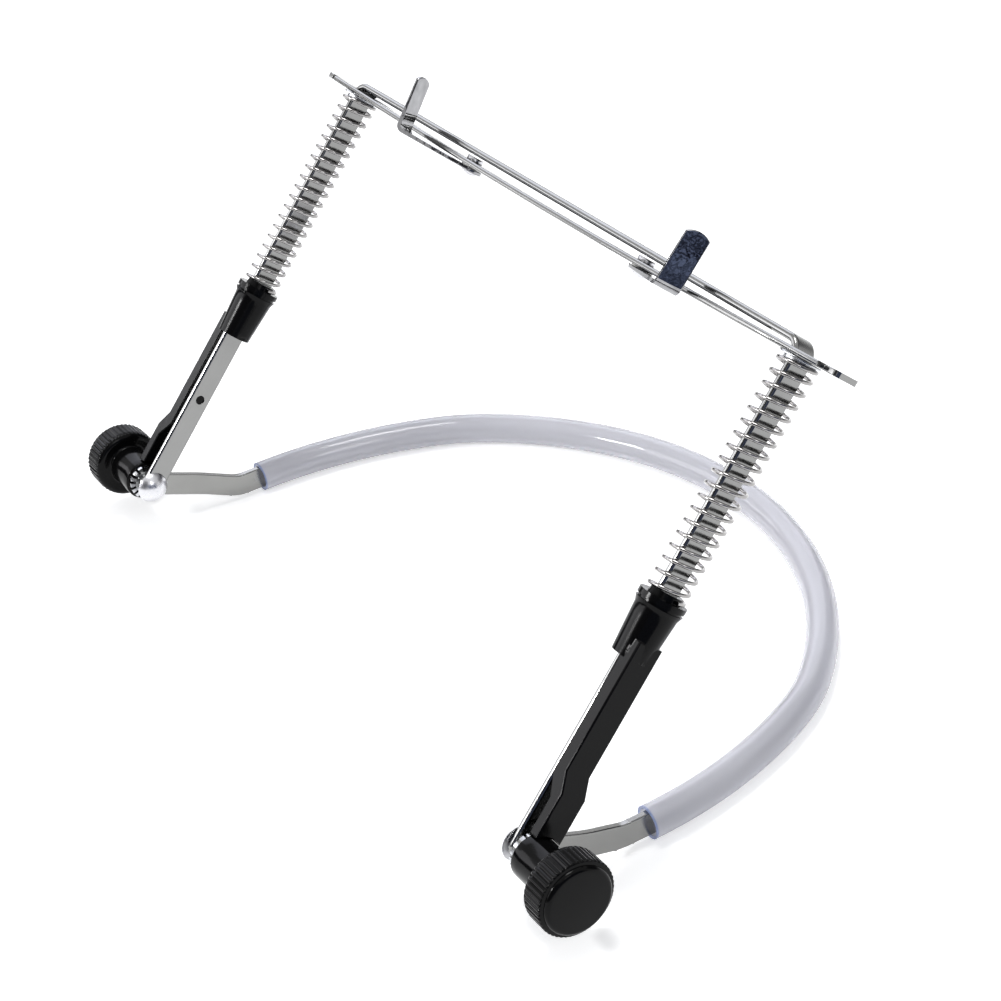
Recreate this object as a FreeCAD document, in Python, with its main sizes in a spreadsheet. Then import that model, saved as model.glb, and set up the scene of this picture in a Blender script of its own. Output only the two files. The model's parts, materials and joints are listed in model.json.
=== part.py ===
import FreeCAD, Part
import math
import os
import re

import Sketcher
from FreeCAD import Placement, Rotation, Vector

# Harmonica holder: a neck loop that carries a sprung clamp frame on two knob-locked pivots.
# Millimetres and degrees. +Z is up, X runs along the crossbar, and the neck loop lies flat on z = 0.
# Pieces of the clamp frame are drawn upright, with the pivot axis as X and the arms along Z, and then
# lean back over the loop by the lean angle.

SIZES = {
    # Arms and crossbar, one bent strip
    "inner_span": 215.0,
    "arm_height": 137.1,
    "arm_width": 7.0,
    "arm_thick": 2.0,
    "corner_radius": 4.8,
    "lean_angle": 42.4,
    # Neck yoke, one strip bent edgewise and round the neck
    "yoke_width": 6.8,
    "yoke_thick": 2.0,
    "yoke_reach": 29.4,
    "yoke_drop_angle": 22.2,
    "yoke_bend_radius": 12.0,
    "yoke_eye_run": 16.5,
    "yoke_ease_radius": 30.0,
    "loop_inset": 1.95,
    "loop_reach": 113.3,
    "loop_side_angle": 27.9,
    "loop_shoulder_angle": 14.5,
    "loop_shoulder_radius": 59.0,
    # Clear tube over the yoke
    "tube_radius": 4.5,
    "tube_wall": 0.85,
    "tube_start": 7.7,
    # Pivot stack, from the inner face of the arm outwards
    "bolt_radius": 2.0,
    "bolt_length": 17.5,
    "bolt_head_radius": 4.75,
    "bolt_head_height": 3.0,
    "pivot_clearance": 0.06,
    "face_gap": 0.05,
    "washer_radius": 5.3,
    "washer_thick": 0.8,
    "washer_teeth_height": 0.7,
    "washer_tooth_depth": 1.5,
    "washer_tooth_width": 0.8,
    "washer_teeth_count": 16,
    # Clamp knob
    "knob_radius": 10.4,
    "knob_height": 9.8,
    "knob_rim": 1.2,
    "knob_crown": 0.5,
    "hub_radius": 6.0,
    "hub_length": 12.2,
    "flute_radius": 0.45,
    "flute_depth": 0.35,
    "flute_count": 48,
    "insert_radius": 3.3,
    "insert_length": 14.0,
    "insert_end_room": 1.5,
    # Moulded sleeve on each arm
    "sleeve_width": 8.0,
    "sleeve_thick": 3.8,
    "sleeve_edge_radius": 0.5,
    "socket_bottom": 52.4,
    "socket_top": 68.6,
    "socket_foot_radius": 4.9,
    "socket_neck_radius": 5.7,
    "rim_radius": 6.3,
    "rim_height": 1.5,
    "groove_depth": 0.5,
    "groove_height": 0.7,
    "spigot_radius": 4.2,
    "spigot_height": 1.6,
    "jog_top": 22.5,
    "jog_bottom": 17.5,
    "jog_offset": 2.6,
    "foot_height": 5.2,
    "foot_room": 0.5,
    "foot_relief": 3.3,
    "strip_fit": 0.05,
    "peg_radius": 1.3,
    "peg_height": 30.3,
    "peg_recess": 0.4,
    # Slide plate
    "plate_width": 10.5,
    "plate_thick": 1.5,
    "plate_gap": 1.9,
    "plate_bow": 1.2,
    "plate_overhang": 9.5,
    "plate_edge_radius": 0.6,
    "slot_inset": 12.0,
    "slot_clearance": 0.4,
    "neck_width": 5.0,
    "neck_length": 3.0,
    "tab_width": 8.0,
    "tab_length": 3.2,
    "tab_corner_radius": 1.5,
    # Spring and its seat
    "seat_radius": 5.5,
    "seat_thick": 0.5,
    "seat_boss_radius": 4.2,
    "seat_boss_height": 1.2,
    "spring_radius": 4.95,
    "wire_radius": 0.58,
    "spring_turn_count": 19.25,
    "closed_turn_count": 0.4,
    "easing_turn_count": 0.2,
    "closed_turn_gap": 0.15,
    # Clips, their washers and rivets
    "rivet_spacing": 85.6,
    "clip_reach": 25.2,
    "clip_width": 6.8,
    "clip_thick": 1.1,
    "clip_height": 16.4,
    "clip_crown": 1.1,
    "clip_flare": 7.0,
    "clip_bend_radius": 2.4,
    "clip_swing_right": 22.7,
    "clip_swing_left": 26.0,
    "clip_washer_radius": 3.0,
    "clip_washer_thick": 0.3,
    "rivet_radius": 1.5,
    "rivet_fit": 0.05,
    "rivet_head_radius": 2.4,
    "rivet_foot_height": 0.9,
    # How far a cutting shape runs past what it cuts
    "cut_overrun": 1.0,
}

# Places that several pieces share, each worked out from the sizes
PLACES = {
    "arm_face": "inner_span / 2",
    "arm_back": "(arm_face + arm_thick)",
    "strip_axis": "(arm_face + arm_thick / 2)",
    "yoke_face": "(arm_back + face_gap)",
    "yoke_back": "(yoke_face + yoke_thick)",
    "washer_face": "(yoke_back + face_gap)",
    "hub_face": "(washer_face + washer_thick + washer_teeth_height + face_gap)",
    "knob_back": "(hub_face + hub_length)",
    "knob_front": "(knob_back + knob_height)",
    "insert_back": "(hub_face + insert_length)",
    "loop_half_width": "(yoke_face + yoke_thick / 2 - loop_inset)",
    "yoke_plan_reach": "(yoke_reach * cos(yoke_drop_angle))",
    "loop_back": "(yoke_plan_reach + loop_reach + tube_radius)",
    "pivot_y": "((knob_radius - loop_back) / 2)",
    "pivot_z": "(tube_radius + yoke_reach * sin(yoke_drop_angle))",
    "sleeve_back": "(arm_back + sleeve_thick)",
    "foot_back": "(sleeve_back + jog_offset)",
    "foot_face": "(arm_back + foot_relief)",
    "relief_top": "(jog_top - jog_offset)",
    "relief_bottom": "(jog_bottom - jog_offset)",
    "spring_bottom": "socket_top",
    "plate_top": "(arm_height - arm_thick - plate_gap)",
    "plate_bottom": "(plate_top - plate_thick)",
    "bow_radius": "((strip_axis * strip_axis + plate_bow * plate_bow) / (2 * plate_bow))",
    "seat_near": "(strip_axis - seat_radius)",
    "seat_bottom": "(plate_bottom + seat_near * seat_near / (2 * bow_radius) - seat_thick)",
    "rivet_x": "(rivet_spacing / 2)",
    "washer_near": "(rivet_x - clip_washer_radius)",
    "washer_top": "(plate_bottom + washer_near * washer_near / (2 * bow_radius))",
    "clip_top": "(washer_top - clip_washer_thick - face_gap)",
    "clip_bottom": "(clip_top - clip_thick)",
    "head_far": "(rivet_x + rivet_head_radius)",
    "head_bottom": "(plate_top + head_far * head_far / (2 * bow_radius))",
    "slot_width": "(arm_width + 2 * slot_clearance)",
    "slot_outer": "(arm_back + slot_clearance)",
    "slot_inner": "(arm_face - slot_inset)",
    "plate_end": "(arm_back + plate_overhang)",
    "neck_end": "(plate_end + neck_length)",
    "tab_end": "(neck_end + tab_length)",
}

WORD = re.compile(r"[a-z]+(?:_[a-z]+)+")
ZERO = "0"

doc = FreeCAD.newDocument("harmonica_holder")
sheet = doc.addObject("Spreadsheet::Sheet", "sizes")
for row, (alias, size) in enumerate(SIZES.items(), start=1):
    sheet.set(f"A{row}", alias)
    sheet.set(f"B{row}", str(size))
    sheet.setAlias(f"B{row}", alias)
doc.recompute()


def formula(text):
    """Write a formula of sizes and places as an expression that reads the sheet's cells."""
    def swap(word):
        if word[0] in PLACES:
            return formula(PLACES[word[0]])
        return "sizes." + word[0]
    return WORD.sub(swap, text)


def number(text):
    """Give a formula's present value."""
    return float(sheet.evalExpression(formula(text)))


def bind(thing, **formulas):
    """Tie properties to formulas. Two underscores in a name stand for the dot in a path."""
    for path, text in formulas.items():
        thing.setExpression(path.replace("__", "."), formula(text))


def place_on_frame(piece):
    """Stand a piece at the pivot, leaning back over the neck loop as the clamp frame does."""
    lean = Rotation(Vector(-1, 0, 0), number("lean_angle"))
    piece.Placement = Placement(Vector(0, number("pivot_y"), number("pivot_z")), lean)
    bind(piece, Placement__Base__y="pivot_y", Placement__Base__z="pivot_z")
    bind(piece, Placement__Rotation__Angle="lean_angle")
    return piece


def mirrored(source, name):
    """The same piece on the other side of the middle plane."""
    piece = doc.addObject("Part::Mirroring", name)
    piece.Source = source
    piece.Normal = Vector(1, 0, 0)
    return piece


# Bodies and sketches


def new_body(name):
    return doc.addObject("PartDesign::Body", name)


def origin(body, role):
    """One of a body's own planes or axes."""
    return next(feature for feature in body.Origin.OriginFeatures if feature.Role == role)


def sketch_on(body, role, name, lift=ZERO, shift=ZERO):
    """A sketch on an origin plane, lifted along the plane's normal and shifted along its X."""
    sketch = body.newObject("Sketcher::SketchObject", name)
    sketch.AttachmentSupport = [(origin(body, role), "")]
    sketch.MapMode = "FlatFace"
    bind(sketch, AttachmentOffset__Base__z=lift, AttachmentOffset__Base__x=shift)
    return sketch


def fix_point(sketch, edge, end, across, up):
    """Hold a point of a sketch at a place given by two formulas."""
    for kind, text in (("DistanceX", across), ("DistanceY", up)):
        row = sketch.addConstraint(Sketcher.Constraint(kind, edge, end, number(text)))
        sketch.setExpression(f"Constraints[{row}]", formula(text))


def outline(sketch, points):
    """A closed outline of straight lines through points given by formulas."""
    corners = [Vector(number(across), number(up), 0) for across, up in points]
    first = sketch.GeometryCount
    count = len(points)
    for index, corner in enumerate(corners):
        sketch.addGeometry(Part.LineSegment(corner, corners[(index + 1) % count]))
    for index, (across, up) in enumerate(points):
        following = first + (index + 1) % count
        sketch.addConstraint(Sketcher.Constraint("Coincident", first + index, 2, following, 1))
        fix_point(sketch, first + index, 1, across, up)
    return sketch


def circle(sketch, across, up, radius):
    centre = Vector(number(across), number(up), 0)
    edge = sketch.addGeometry(Part.Circle(centre, Vector(0, 0, 1), number(radius)))
    fix_point(sketch, edge, 3, across, up)
    row = sketch.addConstraint(Sketcher.Constraint("Radius", edge, number(radius)))
    sketch.setExpression(f"Constraints[{row}]", formula(radius))
    return sketch


def rectangle(sketch, left, right, bottom, top):
    return outline(sketch, [(left, bottom), (right, bottom), (right, top), (left, top)])


def bowed_edge(sketch, centre, radius, reach, below):
    """An arc across the sketch's Y axis, below or above its centre, with its ends at +-reach."""
    middle = -90 if below else 90
    spread = math.degrees(math.asin(number(reach) / number(radius)))
    ring = Part.Circle(Vector(0, number(centre), 0), Vector(0, 0, 1), number(radius))
    stops = [math.radians(middle - spread), math.radians(middle + spread)]
    edge = sketch.addGeometry(Part.ArcOfCircle(ring, *stops))
    fix_point(sketch, edge, 3, ZERO, centre)
    row = sketch.addConstraint(Sketcher.Constraint("Radius", edge, number(radius)))
    sketch.setExpression(f"Constraints[{row}]", formula(radius))
    first = f"-({reach})" if below else reach
    last = reach if below else f"-({reach})"
    for end, text in ((1, first), (2, last)):
        row = sketch.addConstraint(Sketcher.Constraint("DistanceX", edge, end, number(text)))
        sketch.setExpression(f"Constraints[{row}]", formula(text))
    return edge


def join(sketch, one, one_end, other, other_end):
    """A straight line between the ends of two edges."""
    line = Part.LineSegment(sketch.getPoint(one, one_end), sketch.getPoint(other, other_end))
    edge = sketch.addGeometry(line)
    sketch.addConstraint(Sketcher.Constraint("Coincident", edge, 1, one, one_end))
    sketch.addConstraint(Sketcher.Constraint("Coincident", edge, 2, other, other_end))


def pad(body, sketch, length, both_ways=False, backwards=False):
    feature = body.newObject("PartDesign::Pad", sketch.Name + "_pad")
    feature.Profile = sketch
    feature.SideType = "Symmetric" if both_ways else "One side"
    feature.Reversed = backwards
    bind(feature, Length=length)
    doc.recompute()
    return feature


def pocket(body, sketch, length, both_ways=False, backwards=False):
    """Cut a sketch's shape out of a body, and make sure that it takes something away."""
    doc.recompute()
    before = body.Tip.Shape.Volume
    feature = body.newObject("PartDesign::Pocket", sketch.Name + "_pocket")
    feature.Profile = sketch
    feature.SideType = "Symmetric" if both_ways else "One side"
    feature.Reversed = backwards
    bind(feature, Length=length)
    doc.recompute()
    if feature.Shape.Volume >= before:
        raise RuntimeError(f"{feature.Name} cuts nothing")
    return feature


def revolve(body, sketch, axis):
    feature = body.newObject("PartDesign::Revolution", sketch.Name + "_turned")
    feature.Profile = sketch
    feature.ReferenceAxis = (sketch, [axis])
    doc.recompute()
    return feature


def mirror_feature(body, feature):
    """Repeat a feature on the other side of the body's YZ plane."""
    twin = body.newObject("PartDesign::Mirrored", feature.Name + "_twin")
    twin.Originals = [feature]
    twin.MirrorPlane = (origin(body, "YZ_Plane"), [""])
    body.Tip = twin
    doc.recompute()
    return twin


def repeat_round(body, feature, count):
    """Repeat a feature evenly round the body's X axis."""
    pattern = body.newObject("PartDesign::PolarPattern", feature.Name + "_round")
    pattern.Originals = [feature]
    pattern.Axis = (origin(body, "X_Axis"), [""])
    bind(pattern, Occurrences=count)
    body.Tip = pattern
    doc.recompute()
    return pattern


def round_edges(body, name, radius, chosen):
    """Fillet the edges of the body for which chosen(edge) holds."""
    base = body.Tip
    edges = [f"Edge{index}" for index, edge in enumerate(base.Shape.Edges, start=1) if chosen(edge)]
    feature = body.newObject("PartDesign::Fillet", name)
    feature.Base = (base, edges)
    bind(feature, Radius=radius)
    doc.recompute()
    return feature


def runs_along(edge, direction):
    """Whether an edge is a straight line in this direction."""
    if len(edge.Vertexes) != 2 or edge.Curve.TypeId != "Part::GeomLine":
        return False
    return abs(abs(edge.tangentAt(edge.FirstParameter).dot(direction)) - 1) < 1e-6


def near(one, other):
    """Whether two lengths are the same but for rounding."""
    return abs(one - other) < 1e-4


# Part primitives


ALONG_X = Rotation(Vector(0, 1, 0), 90)


def primitive(kind, name, at, rotation=Rotation(), **sizes):
    """A Part primitive whose place and sizes are formulas."""
    piece = doc.addObject("Part::" + kind, name)
    piece.Placement = Placement(Vector(*(number(text) for text in at)), rotation)
    bind(piece, Placement__Base__x=at[0], Placement__Base__y=at[1], Placement__Base__z=at[2])
    bind(piece, **sizes)
    return piece


def fuse(name, *pieces):
    joined = doc.addObject("Part::MultiFuse", name)
    joined.Shapes = list(pieces)
    return joined


def cut(name, base, tool):
    rest = doc.addObject("Part::Cut", name)
    rest.Base = base
    rest.Tool = tool
    return rest


def dome(name, at, rotation, radius, height):
    """A cap of a sphere whose flat side stands at a place and whose crown follows +Z of the rotation."""
    sphere_radius = f"(({radius}) * ({radius}) + ({height}) * ({height})) / (2 * ({height}))"
    down = rotation.multVec(Vector(0, 0, -1))
    sink = f"({sphere_radius} - ({height}))"
    centre = [f"{text} + {int(step)} * {sink}" for text, step in zip(at, (round(v) for v in down))]
    ball = primitive("Sphere", name + "_ball", centre, rotation, Radius=sphere_radius)
    stock = primitive("Cylinder", name + "_stock", at, rotation, Radius=radius, Height=height)
    cap = doc.addObject("Part::MultiCommon", name)
    cap.Shapes = [ball, stock]
    return cap


# Paths of straight runs and tangent arcs


def path_edges(start, heading, moves, side=0.0):
    """Edges of a path in the XY plane, drawn at a distance to its left.

    A move is (length, radius, turn): a straight run with no radius, or an arc that turns left by so
    many degrees, right if negative.
    """
    edges = []
    point = Vector(start)
    for length, radius, turn in moves:
        left = Vector(-math.sin(math.radians(heading)), math.cos(math.radians(heading)), 0)
        if not radius:
            ahead = Vector(left.y, -left.x, 0) * length
            edges.append(Part.makeLine(point + left * side, point + ahead + left * side))
            point = point + ahead
            continue
        centre = point + left * math.copysign(radius, turn)
        rim = point + left * side - centre
        stops = [centre + Rotation(Vector(0, 0, 1), turn * part).multVec(rim) for part in (0, 0.5, 1)]
        edges.append(Part.Arc(*stops).toShape())
        point = centre + Rotation(Vector(0, 0, 1), turn).multVec(point - centre)
        heading += turn
    return edges


def band_face(start, heading, moves, width):
    """The face of a strip of even width along a path."""
    left = path_edges(start, heading, moves, width / 2)
    right = path_edges(start, heading, moves, -width / 2)
    first = Part.makeLine(left[0].firstVertex().Point, right[0].firstVertex().Point)
    last = Part.makeLine(right[-1].lastVertex().Point, left[-1].lastVertex().Point)
    return Part.Face(Part.Wire(Part.sortEdges([*left, *right, first, last])[0]))


def loop_arcs():
    """The arcs of the right half of the neck loop, from the tube's end to the middle of the back.

    The side and back radii are those that bring the arcs to the middle plane at the loop's reach.
    """
    side_end = number("loop_side_angle")
    shoulder_end = side_end + number("loop_shoulder_angle")
    stops = [math.radians(turn) for turn in (0, side_end, shoulder_end, 90)]
    across = [math.cos(stops[i]) - math.cos(stops[i + 1]) for i in range(3)]
    along = [math.sin(stops[i + 1]) - math.sin(stops[i]) for i in range(3)]
    shoulder = number("loop_shoulder_radius")
    width_left = number("loop_half_width") - shoulder * across[1]
    reach_left = number("loop_reach - tube_start") - shoulder * along[1]
    share = across[0] * along[2] - across[2] * along[0]
    side = (width_left * along[2] - across[2] * reach_left) / share
    back = (across[0] * reach_left - along[0] * width_left) / share
    return [
        (0, side, side_end),
        (0, shoulder, shoulder_end - side_end),
        (0, back, 90 - shoulder_end),
    ]


# Neck yoke and its tube


def yoke_lead():
    """Plan of the yoke's end, from the pivot to the tube: it eases inwards from the arm to the loop."""
    eye_run = number("yoke_eye_run")
    radius = number("yoke_ease_radius")
    shift = number("loop_inset")
    slant_reach = number("yoke_plan_reach") - eye_run
    ease = math.degrees(math.atan2(shift, slant_reach))
    bend = radius * math.tan(math.radians(ease / 2))
    slant = math.hypot(shift, slant_reach) - 2 * bend
    last = number("tube_start") - bend
    return [(eye_run - bend, 0, 0), (0, radius, ease), (slant, 0, 0), (0, radius, -ease), (last, 0, 0)]


def make_yoke():
    """A strip that is the common part of its plan and its side view, with an eye at each end."""
    eye_x = number("yoke_face + yoke_thick / 2")
    width = number("yoke_width")
    reach = number("yoke_reach")
    drop = number("yoke_drop_angle")
    bend_radius = number("yoke_bend_radius")
    bend = bend_radius * math.tan(math.radians(drop / 2))

    half = [*yoke_lead(), *loop_arcs()]
    plan = band_face(Vector(eye_x, 0, 0), 90, [*half, *reversed(half)], number("yoke_thick"))
    plan.translate(Vector(0, 0, -reach - width))
    plan = plan.extrude(Vector(0, 0, 2 * (reach + width)))

    beyond = number("loop_back")
    side = band_face(Vector(), -drop, [(reach - bend, 0, 0), (0, bend_radius, drop), (beyond, 0, 0)], width)
    side.rotate(Vector(), Vector(1, 1, 1), 120)
    span = 2 * (eye_x + width)
    side.translate(Vector(-span / 2, 0, 0))
    yoke = plan.common(side.extrude(Vector(span, 0, 0)))

    for sign in (1, -1):
        face = Vector(sign * number("yoke_face"), 0, 0)
        outwards = Vector(sign, 0, 0)
        yoke = yoke.fuse(Part.makeCylinder(width / 2, number("yoke_thick"), face, outwards))
    hole = number("bolt_radius + pivot_clearance")
    bore = Part.makeCylinder(hole, span, Vector(-span / 2, 0, 0), Vector(1, 0, 0))
    return yoke.cut(bore).removeSplitter()


def make_tube():
    """A soft tube along the arcs of the loop."""
    arcs = loop_arcs()
    start = Vector(number("loop_half_width"), number("yoke_plan_reach + tube_start"),
                   number("tube_radius - pivot_z"))
    spine = Part.Wire(path_edges(start, 90, [*arcs, *reversed(arcs)]))
    pipes = []
    for radius in (number("tube_radius"), number("tube_radius - tube_wall")):
        ring = Part.Wire(Part.makeCircle(radius, start, Vector(0, 1, 0)))
        pipes.append(spine.makePipeShell([ring], True, False))
    return pipes[0].cut(pipes[1])


def placed_shape(name, shape):
    """A piece whose shape is worked out in code, in the frame of the pivot axis."""
    piece = doc.addObject("Part::Feature", name)
    piece.Shape = shape
    piece.Placement = Placement(Vector(0, number("pivot_y"), number("pivot_z")), Rotation())
    return piece


# Arm frame


def make_arm_frame():
    body = new_body("arm_frame")
    points = [("arm_back", ZERO), ("arm_back", "arm_height"), ("-arm_back", "arm_height"),
              ("-arm_back", ZERO), ("-arm_face", ZERO), ("-arm_face", "arm_height - arm_thick"),
              ("arm_face", "arm_height - arm_thick"), ("arm_face", ZERO)]
    pad(body, outline(sketch_on(body, "XZ_Plane", "bar_outline"), points), "arm_width", both_ways=True)

    def at_corner(edge, across, up):
        point = edge.Vertexes[0].Point
        return near(abs(point.x), across) and near(point.z, up)

    along_y = Vector(0, 1, 0)
    outer = (number("arm_back"), number("arm_height"))
    inner = (number("arm_face"), number("arm_height - arm_thick"))
    round_edges(body, "outer_bends", "corner_radius",
                lambda edge: runs_along(edge, along_y) and at_corner(edge, *outer))
    round_edges(body, "inner_bends", "corner_radius - arm_thick",
                lambda edge: runs_along(edge, along_y) and at_corner(edge, *inner))
    eye = circle(sketch_on(body, "YZ_Plane", "eye", lift="arm_face"), ZERO, ZERO, "arm_width / 2")
    mirror_feature(body, pad(body, eye, "arm_thick"))
    holes = sketch_on(body, "YZ_Plane", "arm_holes")
    circle(holes, ZERO, ZERO, "bolt_radius + pivot_clearance")
    circle(holes, ZERO, "peg_height", "peg_radius + strip_fit")
    pocket(body, holes, "2 * arm_back + cut_overrun", both_ways=True)
    return place_on_frame(body)


# Moulded sleeve: a channel on the arm's outer face, with the spring's socket at its top


def make_sleeve():
    body = new_body("arm_sleeve_right")
    points = [("arm_back", "relief_top"), ("arm_back", "socket_bottom + socket_foot_radius"),
              ("sleeve_back", "socket_bottom + socket_foot_radius"), ("sleeve_back", "jog_top"),
              ("foot_back", "jog_bottom"), ("foot_back", "foot_height"),
              ("foot_face", "foot_height"), ("foot_face", "relief_bottom")]
    pad(body, outline(sketch_on(body, "XZ_Plane", "channel"), points), "sleeve_width", both_ways=True)

    side = number("sleeve_width / 2")
    inside = number("foot_face + strip_fit")

    def on_outer_side(edge):
        one, other = (vertex.Point for vertex in edge.Vertexes)
        return near(abs(one.y), side) and near(one.y, other.y) and min(one.x, other.x) > inside

    round_edges(body, "channel_edges", "sleeve_edge_radius", on_outer_side)
    saddle = circle(sketch_on(body, "YZ_Plane", "hub_saddle", lift="foot_face - cut_overrun"), ZERO, ZERO,
                    "hub_radius + foot_room")
    pocket(body, saddle, "foot_back - foot_face + 2 * cut_overrun", backwards=True)

    shell = sketch_on(body, "XZ_Plane", "socket", shift="strip_axis")
    groove_top = "(socket_top - rim_height)"
    groove_foot = "(socket_top - rim_height - groove_height)"
    profile = [(ZERO, "socket_bottom"), ("socket_foot_radius", "socket_bottom"),
               ("socket_neck_radius", groove_foot + " - rim_height"), ("rim_radius", groove_foot),
               ("rim_radius - groove_depth", groove_foot), ("rim_radius - groove_depth", groove_top),
               ("rim_radius", groove_top), ("rim_radius", "socket_top"),
               ("spigot_radius", "socket_top"),
               ("spigot_radius - groove_depth / 2", "socket_top + spigot_height"),
               (ZERO, "socket_top + spigot_height")]
    revolve(body, outline(shell, profile), "V_Axis")

    bore = sketch_on(body, "XY_Plane", "strip_bore", lift="socket_bottom - cut_overrun")
    rectangle(bore, "arm_face - strip_fit", "arm_back", "-(arm_width / 2 + strip_fit)",
              "arm_width / 2 + strip_fit")
    length = "socket_top + spigot_height - socket_bottom + 2 * cut_overrun"
    pocket(body, bore, length, backwards=True)
    peg = circle(sketch_on(body, "YZ_Plane", "peg", lift="arm_back"), ZERO, "peg_height", "peg_radius")
    pad(body, peg, "arm_thick - peg_recess", backwards=True)
    return place_on_frame(body)


# Pivot stack


def make_bolt():
    shank = primitive("Cylinder", "bolt_shank", ("arm_face", ZERO, ZERO), ALONG_X,
                      Radius="bolt_radius", Height="bolt_length")
    inwards = Rotation(Vector(0, 1, 0), -90)
    head = dome("bolt_head", ("arm_face - face_gap", ZERO, ZERO), inwards, "bolt_head_radius",
                "bolt_head_height")
    collar = primitive("Cylinder", "bolt_collar", ("arm_face - face_gap", ZERO, ZERO), ALONG_X,
                       Radius="bolt_radius", Height="2 * face_gap")
    return place_on_frame(fuse("pivot_bolt_right", shank, head, collar))


def make_lock_washer():
    """A ring whose outer part is notched into teeth that stand proud towards the knob."""
    body = new_body("lock_washer_right")
    ring = sketch_on(body, "YZ_Plane", "washer_ring", lift="washer_face")
    circle(ring, ZERO, ZERO, "washer_radius")
    circle(ring, ZERO, ZERO, "bolt_radius + pivot_clearance")
    pad(body, ring, "washer_thick")
    teeth = sketch_on(body, "YZ_Plane", "washer_teeth", lift="washer_face + washer_thick")
    circle(teeth, ZERO, ZERO, "washer_radius")
    circle(teeth, ZERO, ZERO, "washer_radius - washer_tooth_depth")
    pad(body, teeth, "washer_teeth_height")
    notch = sketch_on(body, "YZ_Plane", "washer_notch", lift="washer_face - cut_overrun")
    rectangle(notch, "washer_radius - washer_tooth_depth", "washer_radius + cut_overrun",
              "-washer_tooth_width / 2", "washer_tooth_width / 2")
    length = "washer_thick + washer_teeth_height + 2 * cut_overrun"
    repeat_round(body, pocket(body, notch, length, backwards=True), "washer_teeth_count")
    return place_on_frame(body)


def make_knob():
    body = new_body("knob_right")
    bore = "(insert_radius + strip_fit)"
    half_rim = "knob_rim / 2"
    points = [("hub_face", bore), ("hub_face", "hub_radius - " + half_rim),
              ("hub_face + " + half_rim, "hub_radius"), ("knob_back", "hub_radius"),
              ("knob_back", "knob_radius - " + half_rim), ("knob_back + " + half_rim, "knob_radius"),
              ("knob_front - knob_rim", "knob_radius"),
              ("knob_front - knob_crown", "knob_radius - knob_rim"), ("knob_front", ZERO),
              ("insert_back + strip_fit", ZERO), ("insert_back + strip_fit", bore)]
    revolve(body, outline(sketch_on(body, "XZ_Plane", "knob_profile"), points), "H_Axis")
    flute = sketch_on(body, "YZ_Plane", "flute", lift="knob_back - cut_overrun")
    circle(flute, ZERO, "knob_radius + flute_radius - flute_depth", "flute_radius")
    length = "knob_height + 2 * cut_overrun"
    repeat_round(body, pocket(body, flute, length, backwards=True), "flute_count")
    return place_on_frame(body)


def make_insert():
    """A threaded bush with a blind bore that runs on the bolt."""
    bush = primitive("Cylinder", "insert_bush", ("hub_face", ZERO, ZERO), ALONG_X,
                     Radius="insert_radius", Height="insert_length")
    bore = primitive("Cylinder", "insert_bore", ("hub_face - cut_overrun", ZERO, ZERO), ALONG_X,
                     Radius="bolt_radius + pivot_clearance",
                     Height="insert_length - insert_end_room + cut_overrun")
    return place_on_frame(cut("knob_insert_right", bush, bore))


# Slide plate


def make_plate():
    """A plate that the springs bow a little, so that its ends stand higher than its middle."""
    body = new_body("slide_plate")
    half = [("plate_end", "plate_width / 2"), ("plate_end", "neck_width / 2"),
            ("neck_end", "neck_width / 2"), ("neck_end", "tab_width / 2"), ("tab_end", "tab_width / 2")]
    below = [(x, f"-({y})") for x, y in reversed(half)]
    right = [*half, *below]
    left = [(f"-({x})", f"-({y})") for x, y in right]
    lift = "plate_bottom - cut_overrun"
    plan = outline(sketch_on(body, "XY_Plane", "plate_plan", lift=lift), [*right, *left])
    height = "plate_thick + 2 * plate_bow + 2 * cut_overrun"
    pad(body, plan, height)

    waste = sketch_on(body, "XZ_Plane", "plate_waste")
    beyond = "tab_end + 2 * cut_overrun"
    rectangle(waste, f"-({beyond})", beyond, "plate_bottom - 2 * cut_overrun",
              "plate_top + 2 * plate_bow + 2 * cut_overrun")
    centre = "plate_bottom + bow_radius"
    reach = "tab_end + cut_overrun"
    under = bowed_edge(waste, centre, "bow_radius", reach, below=True)
    over = bowed_edge(waste, centre, "bow_radius - plate_thick", reach, below=True)
    join(waste, under, 1, over, 1)
    join(waste, under, 2, over, 2)
    pocket(body, waste, "plate_width + 2 * cut_overrun", both_ways=True)

    tip = number("tab_end")
    round_edges(body, "tab_corners", "tab_corner_radius",
                lambda edge: runs_along(edge, Vector(0, 0, 1)) and near(abs(edge.Vertexes[0].X), tip))
    round_edges(body, "plate_edges", "plate_edge_radius", lambda edge: edge.Length > number("inner_span"))
    slot = sketch_on(body, "XY_Plane", "arm_slot", lift=lift)
    rectangle(slot, "slot_inner", "slot_outer", "-slot_width / 2", "slot_width / 2")
    mirror_feature(body, pocket(body, slot, height, backwards=True))
    hole = sketch_on(body, "XY_Plane", "rivet_hole", lift=lift)
    circle(hole, "rivet_x", ZERO, "rivet_radius + rivet_fit")
    mirror_feature(body, pocket(body, hole, height, backwards=True))
    return place_on_frame(body)


# Springs and their seats


def make_seat():
    ring = primitive("Cylinder", "seat_ring", ("strip_axis", ZERO, "seat_bottom"),
                     Radius="seat_radius", Height="seat_thick")
    boss = primitive("Cylinder", "seat_boss", ("strip_axis", ZERO, "seat_bottom - seat_boss_height"),
                     Radius="seat_boss_radius", Height="seat_boss_height + seat_thick / 2")
    bore = primitive("Box", "seat_bore",
                     ("arm_face - slot_clearance / 2", "-(arm_width + slot_clearance) / 2",
                      "seat_bottom - seat_boss_height - cut_overrun"),
                     Length="arm_thick + slot_clearance", Width="arm_width + slot_clearance",
                     Height="seat_thick + seat_boss_height + 2 * cut_overrun")
    return place_on_frame(cut("spring_seat_right", fuse("seat_washer", ring, boss), bore))


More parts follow.
